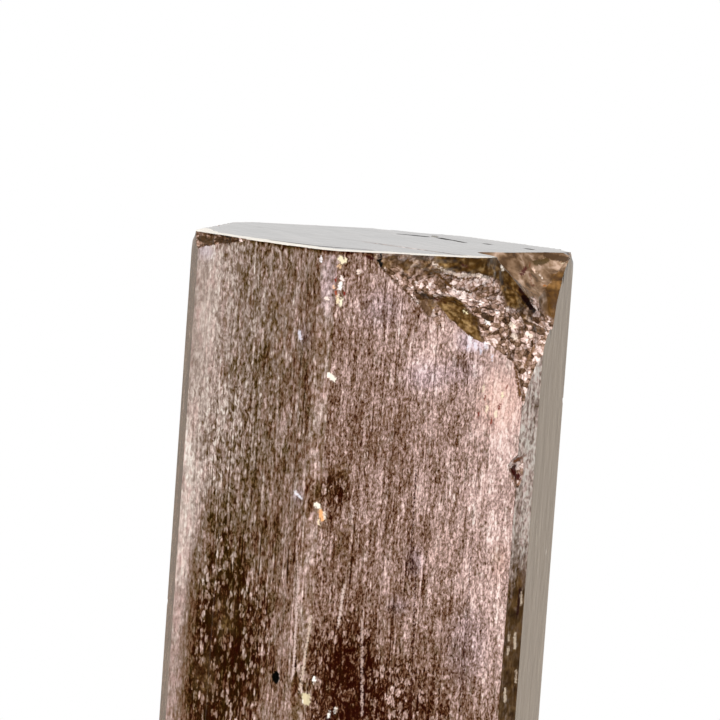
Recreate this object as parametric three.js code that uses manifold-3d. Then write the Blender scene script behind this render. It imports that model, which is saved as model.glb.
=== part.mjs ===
// A single apatite crystal: a stout six-sided prism with a flat end face, standing on its
// broken, flat base. Millimetres, +Z up. The origin is in the middle of the base, and Z is
// the crystal's long axis. Its widest clean prism face looks along -Y.
import * as THREE from 'three';
import { mergeVertices } from 'three/addons/utils/BufferGeometryUtils.js';
import Module from 'manifold-3d';

const wasm = await Module();
wasm.setup();

// Driving dimensions
const height = 45;

// Distance from the axis to each of the twelve upright faces, by compass bearing from +X.
// The odd ones (30, 90, ...) are the wide prism faces and the even ones the narrow faces
// that bevel the corners between them.
const faceReach = {
  0: 12.06, 30: 10.58, 60: 10.23, 90: 10.49, 120: 11.7, 150: 10.82,
  180: 12.06, 210: 10.86, 240: 12.03, 270: 10.49, 300: 12.36, 330: 11.73,
};

const faceSpacing = 30;

// Growth channels: shallow upright strips where a wide face stands back a little. Each has
// its start and end as a share of the face's width, and its depth.
const channelFlank = 0.06;
const growthChannels = {
  30: [[0.14, 0.31, 0.05], [0.48, 0.56, 0.07], [0.71, 0.9, 0.05]],
  90: [[0.1, 0.22, 0.06], [0.37, 0.62, 0.05], [0.74, 0.8, 0.08]],
  150: [[0.16, 0.24, 0.06], [0.4, 0.66, 0.04], [0.83, 0.92, 0.06]],
  210: [[0.26, 0.33, 0.03], [0.72, 0.9, 0.03]],
  270: [[0.34, 0.4, 0.03], [0.79, 0.84, 0.03]],
  330: [[0.2, 0.27, 0.04], [0.58, 0.76, 0.04]],
};

// Growth steps on the end face: everything on one side of a curved riser is lower.
// The riser's points are x and y, and the rest of each outline lies outside the crystal.
const endSteps = [
  { drop: 0.09, outline: [[-13, 6.5], [-9.5, 4.7], [-9.1, 1.3], [-7.8, -3.3], [-4.9, -6.6],
    [-2.3, -8.6], [-1.4, -9.8], [-1.2, -12], [-13, -12]] },
  { drop: 0.05, outline: [[-13, 9.5], [-7.2, 8.1], [-4.4, 2.2], [-1.6, -2], [-0.3, -4.1],
    [1.8, -7.8], [3.1, -9.6], [3.4, -12], [-13, -12]] },
];

// Broken patches. Each rim runs anticlockwise as seen from outside, in x, y and depth below
// the end face; floor is its deepest point and apex a point well outside the crystal.
const brokenCorner = {
  rim: [[-3.4, -10.49, 0], [-2.41, -10.49, -1.29], [-1, -10.49, -2.15], [0.55, -10.49, -2.85],
    [1.73, -10.49, -3.87], [2.88, -10.49, -4.73], [4.26, -10.49, -5.35], [5.3, -10.49, -5.85],
    [5.95, -10.49, -6.5], [6.4, -10.49, -7.8], [6.62, -10.45, -8.9], [7.05, -10.2, -7.3],
    [7.6, -9.88, -6.1], [8.1, -9.42, -5.3], [8.5, -8.73, -4.65], [9.35, -7.26, -4.1],
    [7.9, -8.2, -2.2], [5.6, -8.6, -0.4], [4.5, -9.3, 0], [3.4, -10.2, 0], [0.6, -10.4, 0]],
  floor: [5.3, -9.5, -3.2],
  apex: [9, -19, 5],
  hollow: 0.12, rippleHeight: 0.07, rippleLength: 1.1, grain: 0.08, rings: 14, spokes: 66,
};
const shellBreak = {
  rim: [[4.8, -8.5, 0], [6.6, -9.3, -2.1], [7.9, -9.2, -3.7], [9.25, -7.43, -4.25],
    [9.6, -6.82, -2.9], [10.16, -5.85, -1.7], [10.85, -4.66, -0.7], [11.4, -3.7, -0.15],
    [11.75, -2.9, 0], [10.22, -3.15, 0], [8.6, -4.02, 0], [6.93, -4.98, 0], [5.66, -5.46, 0],
    [4.55, -6.05, 0]],
  floor: [8.3, -7.2, -2.5],
  apex: [14, -18, 7],
  hollow: 0.25, rippleHeight: 0.05, rippleLength: 1.5, grain: 0.0, rings: 12, spokes: 56,
};
const wedgeNotch = {
  rim: [[-1.1, -10.49, -2.05], [-0.25, -10.49, -3.3], [0.2, -10.49, -3.8], [0.35, -10.49, -3.3],
    [0.7, -10.49, -2.7]],
  floor: [0.1, -10.12, -2.7],
  apex: [0, -14, -1],
  hollow: 0, rippleHeight: 0, rippleLength: 1, grain: 0, rings: 2, spokes: 15,
};
const edgePit = {
  rim: [[5.95, -10.49, -12.7], [6.35, -10.49, -13.5], [6.75, -10.38, -14.1], [7.05, -10.2, -13.2],
    [6.95, -10.26, -12.2], [6.5, -10.49, -12.05]],
  floor: [6.6, -9.75, -12.95],
  apex: [8, -15, -12],
  hollow: 0, rippleHeight: 0, rippleLength: 1, grain: 0, rings: 2, spokes: 18,
};
const bruisedCorner = {
  rim: [[-12.06, -0.1, 0], [-12.06, -0.3, -0.75], [-11.95, -1.05, -0.95], [-11.2, -2.33, -0.55],
    [-10.3, -3.9, -0.3], [-9.9, -4.55, 0], [-10.4, -3.3, 0], [-11.25, -1.6, 0]],
  floor: [-11.4, -1.5, -0.35],
  apex: [-17, -6, 4],
  hollow: 0, rippleHeight: 0, rippleLength: 1, grain: 0.03, rings: 3, spokes: 24,
};
const backFlake = {
  rim: [[4.1, 9.45, 0], [4.7, 8.75, 0], [5.8, 8, 0], [6.7, 7.95, 0], [6.1, 8.29, -1],
    [5.2, 8.81, -1.5], [4.5, 9.21, -0.9]],
  floor: [5.2, 8.35, -0.55],
  apex: [9, 15, 3],
  hollow: 0, rippleHeight: 0, rippleLength: 1, grain: 0.02, rings: 3, spokes: 21,
};
const brokenFoot = {
  rim: [[-6.3, 9.87, -41.5], [-4.9, 10.49, -42], [-3.4, 10.49, -43.1], [-2, 10.49, -44.7],
    [-2.6, 9.6, -45], [-5.5, 8.2, -45], [-8, 6.2, -45], [-9.45, 5.27, -45], [-8.6, 6.74, -43.2]],
  floor: [-5.9, 8.7, -43.9],
  apex: [-11, 17, -49],
  hollow: 0.1, rippleHeight: 0.06, rippleLength: 0.9, grain: 0.02, rings: 8, spokes: 40,
};
const brokenPatches = [
  brokenCorner, shellBreak, wedgeNotch, edgePit, bruisedCorner, backFlake, brokenFoot,
];

// Nicks along the edges: x, y, height above the base and radius.
const nicks = [
  [-5.4, 10.7, 45.1, 0.55], [-1.5, 10.75, 45.1, 0.5], [3.4, 10.1, 45.15, 0.7],
  [8.3, 7.3, 45.1, 0.6], [10.6, 3.2, 45.15, 0.5],
  [12.3, 0.4, 45.1, 0.6], [12.25, -2.3, 45.1, 0.5], [-9.4, 5.6, 45.1, 0.5],
  [12.2, -2.7, 35.6, 0.32], [12.25, -2.5, 36.4, 0.28], [-6.9, -10.3, 31.8, 0.35],
  [-12.3, 0.9, 21.5, 0.4], [2.2, 10.75, 27.5, 0.5], [8.3, 7.3, 12.2, 0.5],
  [-7.2, 9.7, 16.4, 0.45], [8.2, -9.9, 7.4, 0.45],
  [-12.4, 0.4, -0.1, 1.1], [-9.6, -5.7, -0.25, 0.9], [-6.4, -10.5, -0.1, 1.2],
  [-1.2, -10.9, -0.2, 0.8], [3.1, -10.8, -0.15, 0.6], [7.4, -10.4, -0.2, 1.3],
  [10.6, -6.1, -0.2, 0.8], [12.4, -1.3, -0.15, 1.1], [10.4, 3.9, -0.2, 0.8],
  [8.2, 7.4, -0.2, 1.2], [3, 10.6, -0.2, 1], [-2.2, 10.9, -0.2, 0.8],
  [-10.4, 4.2, -0.2, 0.9],
];

// How each nick's bite is turned from the one before, in radians.
const nickTurnX = 1.1;
const nickTurnZ = 0.7;

// The fracture surfaces run this far past their rims, so that they cut right through.
const pastRim = 1.12;

// Vertices closer than this are one vertex.
const weldDistance = 1e-5;

// Repeatable scatter between -1 and 1 for the rough breaks.
function scatter(a, b) {
  const wave = Math.sin(a * 12.9898 + b * 78.233) * 43758.5453;
  return 2 * (wave - Math.floor(wave)) - 1;
}

function toSolid(geometry) {
  geometry.deleteAttribute('normal');
  geometry.deleteAttribute('uv');
  const welded = mergeVertices(geometry, weldDistance);
  return new wasm.Manifold(new wasm.Mesh({
    numProp: 3,
    vertProperties: new Float32Array(welded.attributes.position.array),
    triVerts: new Uint32Array(welded.index.array),
  }));
}

function toGeometry(solid) {
  const mesh = solid.getMesh();
  const geometry = new THREE.BufferGeometry();
  geometry.setAttribute('position', new THREE.BufferAttribute(mesh.vertProperties, 3));
  geometry.setIndex(new THREE.BufferAttribute(mesh.triVerts, 1));
  geometry.computeVertexNormals();
  return geometry;
}

// Corner between the face at a bearing and the next face round.
function cornerAfter(bearing) {
  const next = bearing + faceSpacing;
  const a = THREE.MathUtils.degToRad(bearing);
  const b = THREE.MathUtils.degToRad(next);
  const reachA = faceReach[(bearing + 360) % 360];
  const reachB = faceReach[next % 360];
  const spread = Math.sin(b - a);
  return new THREE.Vector2(
    (reachA * Math.sin(b) - reachB * Math.sin(a)) / spread,
    (reachB * Math.cos(a) - reachA * Math.cos(b)) / spread,
  );
}

// Cross-section of the prism, with its growth channels.
function crossSection() {
  const outline = [];
  for (let bearing = 0; bearing < 360; bearing += faceSpacing) {
    const start = cornerAfter(bearing - faceSpacing);
    const end = cornerAfter(bearing);
    const along = end.clone().sub(start);
    const width = along.length();
    along.normalize();
    const inward = new THREE.Vector2(-along.y, along.x);
    outline.push(start);
    for (const [from, to, depth] of growthChannels[bearing] ?? []) {
      const places = [
        [from * width, 0], [from * width + channelFlank, depth],
        [to * width - channelFlank, depth], [to * width, 0],
      ];
      for (const [run, sink] of places) {
        outline.push(start.clone().addScaledVector(along, run).addScaledVector(inward, sink));
      }
    }
  }
  return new THREE.Shape(outline);
}

// The thin slab that is missing on the low side of a growth step.
function missingLayer({ drop, outline }) {
  const slab = new THREE.ExtrudeGeometry(
    new THREE.Shape(outline.map(([x, y]) => new THREE.Vector2(x, y))),
    { depth: 1 + drop, bevelEnabled: false },
  );
  slab.translate(0, 0, height - drop);
  return toSolid(slab);
}

// The flake that is missing from a broken patch. A sphere's mesh is pulled into place: its
// lower half becomes the fracture surface, fanning from the floor out past the rim, and its
// upper half closes over the outside up to the apex.
function missingFlake({ rim, floor, apex, hollow, rippleHeight, rippleLength, grain, rings, spokes }) {
  const top = new THREE.Vector3(0, 0, height);
  const rimCurve = new THREE.CatmullRomCurve3(
    rim.map((point) => new THREE.Vector3(...point).add(top)), true, 'centripetal');
  const deepest = new THREE.Vector3(...floor).add(top);
  const peak = new THREE.Vector3(...apex).add(top);
  const outward = peak.clone().sub(deepest).normalize();
  const geometry = new THREE.SphereGeometry(1, spokes, 2 * rings);
  const position = geometry.attributes.position;
  const point = new THREE.Vector3();
  for (let row = 0; row <= 2 * rings; row += 1) {
    for (let spoke = 0; spoke <= spokes; spoke += 1) {
      const column = spoke % spokes;
      const onRim = rimCurve.getPoint(column / spokes);
      const beyond = deepest.clone().lerp(onRim, pastRim);
      if (row <= rings) {
        point.copy(peak).lerp(beyond, row / rings);
      } else {
        const share = (2 * rings - row) / rings;
        point.copy(deepest).lerp(beyond, share);
        const distance = point.distanceTo(deepest);
        const fade = 4 * share * (1 - share);
        const ripple = rippleHeight * Math.sin(2 * Math.PI * distance / rippleLength);
        const rough = grain * scatter(row, column);
        point.addScaledVector(outward, fade * (ripple + rough - hollow));
      }
      position.setXYZ(row * (spokes + 1) + spoke, point.x, point.y, point.z);
    }
  }
  return toSolid(geometry);
}

// A nick is a small angular bite, turned a different way each time.
function nick([x, y, z, radius], index) {
  const bite = new THREE.IcosahedronGeometry(radius, 0);
  bite.rotateX(index * nickTurnX);
  bite.rotateZ(index * nickTurnZ);
  bite.translate(x, y, z);
  return toSolid(bite);
}

function crystal() {
  let solid = toSolid(new THREE.ExtrudeGeometry(
    crossSection(), { depth: height, bevelEnabled: false },
  ));
  for (const step of endSteps) {
    solid = solid.subtract(missingLayer(step));
  }
  for (const patch of brokenPatches) {
    solid = solid.subtract(missingFlake(patch));
  }
  nicks.forEach((bite, index) => {
    solid = solid.subtract(nick(bite, index));
  });
  return solid;
}

const translucentBrownApatite = new THREE.MeshStandardMaterial({
  color: 0x8a746c, roughness: 0.18, metalness: 0,
});

const apatiteCrystal = new THREE.Mesh(toGeometry(crystal()), translucentBrownApatite);
apatiteCrystal.name = 'apatite_crystal';

const specimen = new THREE.Group();
specimen.add(apatiteCrystal);

export default specimen;
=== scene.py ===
import math

import bmesh
import bpy
from mathutils import Matrix, Vector, noise


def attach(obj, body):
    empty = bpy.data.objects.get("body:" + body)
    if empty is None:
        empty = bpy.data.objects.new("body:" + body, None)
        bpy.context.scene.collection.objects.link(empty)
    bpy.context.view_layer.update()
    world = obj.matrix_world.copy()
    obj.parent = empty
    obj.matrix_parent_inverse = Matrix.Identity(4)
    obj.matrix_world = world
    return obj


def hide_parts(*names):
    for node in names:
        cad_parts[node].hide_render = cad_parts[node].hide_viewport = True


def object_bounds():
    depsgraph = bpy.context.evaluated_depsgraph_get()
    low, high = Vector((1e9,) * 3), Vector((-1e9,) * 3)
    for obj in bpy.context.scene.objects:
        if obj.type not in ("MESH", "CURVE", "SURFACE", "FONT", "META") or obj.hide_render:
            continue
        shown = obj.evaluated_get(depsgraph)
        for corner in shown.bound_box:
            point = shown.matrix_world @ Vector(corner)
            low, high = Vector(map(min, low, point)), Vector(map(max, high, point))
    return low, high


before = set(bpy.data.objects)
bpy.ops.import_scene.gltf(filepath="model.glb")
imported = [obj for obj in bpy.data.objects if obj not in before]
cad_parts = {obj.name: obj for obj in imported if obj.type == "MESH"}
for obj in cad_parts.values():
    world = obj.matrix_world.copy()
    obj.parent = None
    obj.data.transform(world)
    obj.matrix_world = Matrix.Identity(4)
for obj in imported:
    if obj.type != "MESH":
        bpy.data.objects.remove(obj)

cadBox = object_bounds()
mm = 0.001
print("frame loaded")


# an sRGB hex colour as the linear one that nodes and attributes want
def toLinear(hexColour, alpha=1.0):
    channels = [int(hexColour[i:i + 2], 16) / 255 for i in (1, 3, 5)]
    linear = [c / 12.92 if c <= 0.04045 else ((c + 0.055) / 1.055) ** 2.4 for c in channels]
    return (*linear, alpha)


# adds a node, sets it up, links its inputs and gives back one output
def add(tree, kind, inputs=None, out=0, stops=None, **settings):
    node = tree.nodes.new("ShaderNode" + kind)
    for key, value in settings.items():
        setattr(node, key, value)
    for socket, value in (inputs or {}).items():
        if isinstance(value, bpy.types.NodeSocket):
            tree.links.new(value, node.inputs[socket])
        else:
            node.inputs[socket].default_value = value
    for i, (position, colour) in enumerate(stops or []):
        elements = node.color_ramp.elements
        element = elements[i] if i < 2 else elements.new(position)
        element.position = position
        element.color = toLinear(colour)
    return node.outputs[out] if node.outputs else node


# how much of a run is used up, from 0 to 1
def share(value, run):
    return min(max(value / run, 0), 1)


# 1 as far as full, then a soft fade down to 0 at none
def fadeOut(reach, full=0.3, none=1.2):
    t = share(none - reach, none - full)
    return t * t * (3 - 2 * t)


# the camera: its place in mm, its turns in degrees
view = {
    "place": (-88.8, -282.776, 66.056),
    "azimuth": 17.289,
    "downTilt": 5.532,
    "roll": 4.148,
    "focalPixels": 4715.76,
    "framePixels": 720,
    "sensorWidth": 36,
}


def makeCamera():
    data = bpy.data.cameras.new("mainView")
    data.sensor_width = view["sensorWidth"]
    data.lens = view["focalPixels"] * view["sensorWidth"] / view["framePixels"]
    data.clip_start = 0.01
    data.clip_end = 20
    camera = bpy.data.objects.new("mainView", data)
    bpy.context.scene.collection.objects.link(camera)
    heading = Matrix.Rotation(math.radians(-view["azimuth"]), 4, "Z")
    tilt = Matrix.Rotation(math.radians(90 - view["downTilt"]), 4, "X")
    roll = Matrix.Rotation(math.radians(view["roll"]), 4, "Z")
    camera.matrix_world = Matrix.Translation(Vector(view["place"]) * mm) @ heading @ tilt @ roll
    bpy.context.scene.camera = camera


makeCamera()


# the light and the floor: places and sizes in mm, powers in watts, and heights on the world as sines
studio = {
    "backGlow": 0.86,
    "frontGlow": 0.02,
    "panelSide": (0.25, 0.75),
    "panelTop": (0.22, 0.5),
    "panelLeft": 0.08,
    "lowColour": "#f3e4d4",
    "lowFade": (-0.09, 0.05),
    "skyGlow": 0.25,
    "skyRise": (0.35, 0.9),
    "lampAim": (0, 0, 25),
    "lamps": {
        "keySoftbox": {"place": (-225, -275, 400), "size": (460, 420), "power": 3.4},
        "frontSoftbox": {"place": (-110, -320, 270), "size": (300, 260), "power": 1.55},
    },
    "floorRadius": 45,
    "floorSegments": 96,
    "floorColour": "#efefee",
    "floorLift": 0.45,
}


def makeWorld():
    world = bpy.data.worlds.new("softStudio")
    bpy.context.scene.world = world
    world.use_nodes = True
    tree = world.node_tree
    tree.nodes.clear()
    direction = add(tree, "TexCoord", out="Generated")
    # a bright panel stands behind the crystal, so its steep faces mirror it
    heading = math.radians(view["azimuth"])
    back = add(tree, "VectorMath", {0: direction, 1: (math.sin(heading), math.cos(heading), 0)},
               out="Value", operation="DOT_PRODUCT")
    near, far = studio["panelSide"]
    glow = add(tree, "MapRange", {"Value": back, "From Min": near, "From Max": far,
                                  "To Min": studio["frontGlow"], "To Max": studio["backGlow"]},
               interpolation_type="SMOOTHSTEP")
    up = add(tree, "SeparateXYZ", {0: direction}, out="Z")
    low, high = studio["panelTop"]
    above = add(tree, "MapRange", {"Value": up, "From Min": low, "From Max": high,
                                   "To Min": 1, "To Max": studio["panelLeft"]})
    panel = add(tree, "Math", {0: glow, 1: above}, operation="MULTIPLY")
    low, high = studio["lowFade"]
    white = add(tree, "MapRange", {"Value": up, "From Min": low, "From Max": high})
    tint = add(tree, "Mix", {0: white, 6: toLinear(studio["lowColour"]), 7: (1, 1, 1, 1)}, out=2,
               data_type="RGBA")
    low, high = studio["skyRise"]
    sky = add(tree, "MapRange", {"Value": up, "From Min": low, "From Max": high,
                                 "To Min": 0, "To Max": studio["skyGlow"]})
    strength = add(tree, "Math", {0: panel, 1: sky}, operation="ADD")
    lit = add(tree, "Background", {"Color": tint, "Strength": strength})
    seen = add(tree, "Background", {"Color": (1, 1, 1, 1), "Strength": 1})
    cameraRay = add(tree, "LightPath", out="Is Camera Ray")
    mixed = add(tree, "MixShader", {0: cameraRay, 1: lit, 2: seen})
    add(tree, "OutputWorld", {"Surface": mixed})


def makeSoftbox(name, place, size, power):
    data = bpy.data.lights.new(name, "AREA")
    data.shape = "RECTANGLE"
    data.size, data.size_y = [side * mm for side in size]
    data.energy = power
    lamp = bpy.data.objects.new(name, data)
    lamp.visible_glossy = False  # or it shows as a hard patch on the polished faces
    bpy.context.scene.collection.objects.link(lamp)
    where = Vector(place) * mm
    turn = (where - Vector(studio["lampAim"]) * mm).to_track_quat("Z", "Y").to_matrix().to_4x4()
    lamp.matrix_world = Matrix.Translation(where) @ turn


def makeFloor():
    bm = bmesh.new()
    bmesh.ops.create_circle(bm, cap_ends=True, segments=studio["floorSegments"],
                            radius=studio["floorRadius"] * mm)
    data = bpy.data.meshes.new("paleFloor")
    bm.to_mesh(data)
    bm.free()
    floor = bpy.data.objects.new("paleFloor", data)
    bpy.context.scene.collection.objects.link(floor)
    # board with matt paint: it shows no shine, only the soft shadow round the crystal's foot
    material = bpy.data.materials.new("mattPaleBoard")
    material.use_nodes = True
    tree = material.node_tree
    tree.nodes.clear()
    matt = add(tree, "BsdfDiffuse", {"Color": toLinear(studio["floorColour"])})
    lift = add(tree, "Emission", {"Color": (1, 1, 1, 1), "Strength": studio["floorLift"]})
    none = add(tree, "Emission", {"Strength": 0})
    cameraRay = add(tree, "LightPath", out="Is Camera Ray")
    glow = add(tree, "MixShader", {0: cameraRay, 1: none, 2: lift})
    both = add(tree, "AddShader", {0: matt, 1: glow})
    add(tree, "OutputMaterial", {"Surface": both})
    data.materials.append(material)


makeWorld()
for name, lamp in studio["lamps"].items():
    makeSoftbox(name, **lamp)
makeFloor()
bpy.context.scene.view_settings.view_transform = "Standard"
print("camera, light and floor done")


# A side is named by the bearing of its face. Places on it are mm across from its left edge, as seen
# from outside, and mm up. A tone is the brightness of the skin, 0 to 1. Some tones hold painted light:
# the front right bevel (300) is set lighter to make up for the lamps lighting it less.
sideTone = {
    180: 0.30, 210: 0.43, 240: 0.47, 270: 0.45, 300: 0.73, 330: 0.56,
    0: 0.52, 30: 0.47, 60: 0.50, 90: 0.45, 120: 0.42, 150: 0.46,
}
# how beige a side is rather than pink, and the sides that are polished smooth
sideBeige = {180: 0.3, 210: 1, 240: 0.5, 300: 0.9}
polishedSides = (330, 0)

# across, up, half width, half height, change of tone
sideClouds = {
    180: [(0.8, 38, 3, 16, -0.10)],
    210: [
        (0.6, 38, 3.2, 18, 0.20), (2.0, 40.3, 3.5, 3, 0.03), (5, 41, 3, 3.5, 0.06),
        (0.2, 20, 1.5, 16, 0.22), (1.1, 44, 0.8, 0.6, 0.16), (3.8, 18.5, 3.4, 9.5, -0.22),
        (6, 24, 5, 9, -0.09), (7, 19, 2.2, 5, -0.10), (9.4, 18, 1.6, 8, 0.05),
        (6.2, 37.8, 1.4, 1.8, -0.09), (9.4, 38.2, 0.9, 1.4, -0.10), (9.6, 34.5, 1.2, 4, -0.07),
        (3.4, 36.6, 0.9, 0.8, -0.08), (9.2, 25.5, 1, 2, 0.06), (8.4, 16.5, 0.8, 3.5, 0.12),
    ],
    240: [
        (0.5, 30.4, 1.2, 1.4, -0.15), (0.5, 18.8, 1, 2.2, -0.14), (0.5, 43.4, 1.2, 1.6, 0.08),
        (0.4, 25, 0.5, 2.5, 0.08),
    ],
    270: [
        (12.4, 28, 3.6, 24, 0.19), (9.5, 34, 4.5, 14, 0.11), (11, 36.3, 2.2, 3, 0.07),
        (8.7, 39.9, 1.5, 1.0, 0.28), (6, 37.9, 2.4, 1.8, 0.12), (3.5, 40.5, 4.5, 4.5, 0.09),
        (0.7, 30.4, 1.7, 1.4, -0.22), (1.6, 26.5, 1, 3, -0.08), (2.4, 18.8, 2.5, 4.8, -0.29),
        (5.6, 17.5, 3.2, 3.6, -0.10), (4.6, 24.5, 0.5, 3, 0.06), (1.8, 23.4, 0.8, 0.7, 0.07),
        (6, 10, 9, 9, -0.12),
    ],
    300: [(0.8, 17.5, 4, 9.6, -0.42), (1.1, 24, 0.9, 1.9, -0.22), (1.1, 38.3, 0.6, 1.8, 0.12)],
    330: [(3, 12, 4, 9, -0.05)],
    30: [(3, 30, 3, 9, 0.12), (5, 12, 3, 8, -0.15)],
    60: [(2, 35, 3, 6, -0.10), (4, 18, 2.5, 9, 0.10)],
    90: [(3, 36, 3, 7, 0.10), (5, 14, 3.5, 8, -0.16)],
    120: [(1, 30, 1.5, 10, 0.12)],
    150: [(3, 34, 3, 8, 0.12), (6, 20, 3, 7, -0.14), (2, 9, 3, 5, -0.08)],
}

# the same for tints: lilac, peach, olive, rust
sideTints = {
    "lilac": {
        270: [(6.1, 37.6, 1.7, 1.1, 0.5), (8.4, 38.0, 1.6, 1.0, 0.4), (9.0, 39.9, 1.4, 0.9, 0.8),
              (6.3, 26.2, 0.7, 1.1, 0.55), (5.4, 23.4, 0.8, 0.7, 0.5), (10, 21, 1.6, 3, 0.35),
              (3.0, 41.6, 1.6, 1.4, 0.4)],
        210: [(0.7, 43.9, 0.9, 0.7, 0.7), (9.6, 39.6, 0.7, 0.8, 0.5), (10, 29.8, 0.6, 0.5, 0.6)],
        240: [(0.6, 43, 0.8, 2.4, 0.5)],
    },
    "peach": {
        270: [(11, 36.2, 1.9, 2.3, 0.9), (11.8, 26.4, 0.7, 1.6, 0.7), (7.6, 27, 2, 1.6, 0.3)],
    },
    "olive": {
        210: [(4.4, 21.5, 1.3, 1.6, 0.35), (3.2, 17.5, 1.3, 2, 0.3), (6.3, 30, 1.2, 2.2, 0.2),
              (7.2, 40.5, 1.4, 2.2, 0.2)],
        270: [(1.0, 31.4, 1.1, 1, 0.3), (1.7, 27.2, 0.8, 2, 0.25)],
        300: [(0.8, 18, 4, 9.6, 0.45)],
    },
    "rust": {
        270: [(4.4, 34.8, 1.2, 1.2, 0.15), (11.7, 26.8, 0.6, 1.0, 0.25)],
        210: [(7.4, 37.9, 0.8, 0.9, 0.35)],
        300: [(0.8, 19, 4, 9, 0.3), (1.2, 24.5, 0.6, 2.2, 0.3)],
    },
}

# spots where the streaks fade into calm, even stone
calmSpots = {
    210: [(0.1, 30, 2.2, 40, 0.55), (2.4, 40, 4.2, 6, 0.3)],
    180: [(0.8, 30, 3, 40, 0.25)],
    270: [(11.6, 36, 2.6, 5, 0.3), (2.4, 18, 2.4, 4.6, 0.12)],
    300: [(0.8, 17, 3, 9.5, 0.2)],
}

# kinds of break, each named at a few places in mm that it lies nearest to
breakKinds = {
    "olive": [(0.8, -10.2, 44.7), (1.9, -10.2, 44.7), (2.8, -10.2, 44.55), (3.7, -9.9, 44.45),
              (4.5, -9.4, 44.3), (0.7, -10.35, 42.0), (1.4, -10.3, 41.75), (2.1, -10.2, 41.35),
              (2.8, -10.3, 40.85),
              (5.6, -8.8, 43.9), (5.9, -8.9, 43.2), (6.3, -8.9, 42.6)],
    "grain": [(-2.2, -10.4, 43.8), (-0.8, -10.3, 43.2), (0.4, -10.1, 43.1), (1.4, -9.9, 43.4),
              (2.3, -9.9, 43.4), (3.4, -9.8, 43.3), (4.4, -9.7, 43.2), (4.7, -9.5, 42.2),
              (3.4, -9.9, 42.2), (5.3, -9.3, 41.2),
              (6.4, -9.3, 41.3), (7.3, -9.2, 40.9), (6.1, -9.6, 40.2), (4.3, -9.9, 40.9), (6.7, -10, 38.6),
              (7.9, -7.9, 41.4), (8.3, -7.7, 41.2)],
    "dusk": [(-2.6, -10.4, 44.5), (-1.6, -10.4, 44.4), (-0.6, -10.4, 44.3), (0.2, -10.3, 44.4),
             (0.0, -10.3, 42.1), (0.5, -10.3, 42.2), (7.4, -8.6, 41.2)],
    "clear": [(7.7, -5, 44.2), (8.9, -5.4, 43.4), (8.9, -4.2, 44.4), (8.8, -6.7, 42.4), (7.2, -7.2, 43.4),
              (10.6, -3.6, 44.4)],
    "rust": [(9.7, -6.2, 42.9), (10.2, -5.6, 43.1), (9.3, -6.6, 42.3)],
}

# lighter and darker spots in the grainy break: place, reach, change of tone
breakClouds = [
    ((1.9, -9.8, 42.55), 0.9, 0.44), ((3.0, -9.85, 43.45), 1.3, 0.36), ((0.6, -10.1, 43.2), 0.8, 0.08),
    ((4.4, -9.8, 41.4), 0.6, -0.15), ((5.0, -9.9, 39.8), 1.7, -0.10), ((6.6, -10.0, 39.0), 1.1, -0.15),
    ((-2.2, -10.45, 44.0), 1.0, -0.12), ((0.0, -10.3, 42.0), 0.7, -0.35), ((6.6, -9.9, 31.9), 1.6, 0.12),
    ((-11.2, -2.0, 44.6), 2.2, -0.35), ((7.0, -9.2, 40.8), 1.5, -0.16),
    ((4.5, -9.6, 42.2), 0.9, 0.14), ((5.1, -9.6, 40.9), 0.9, -0.10),
]
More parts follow.
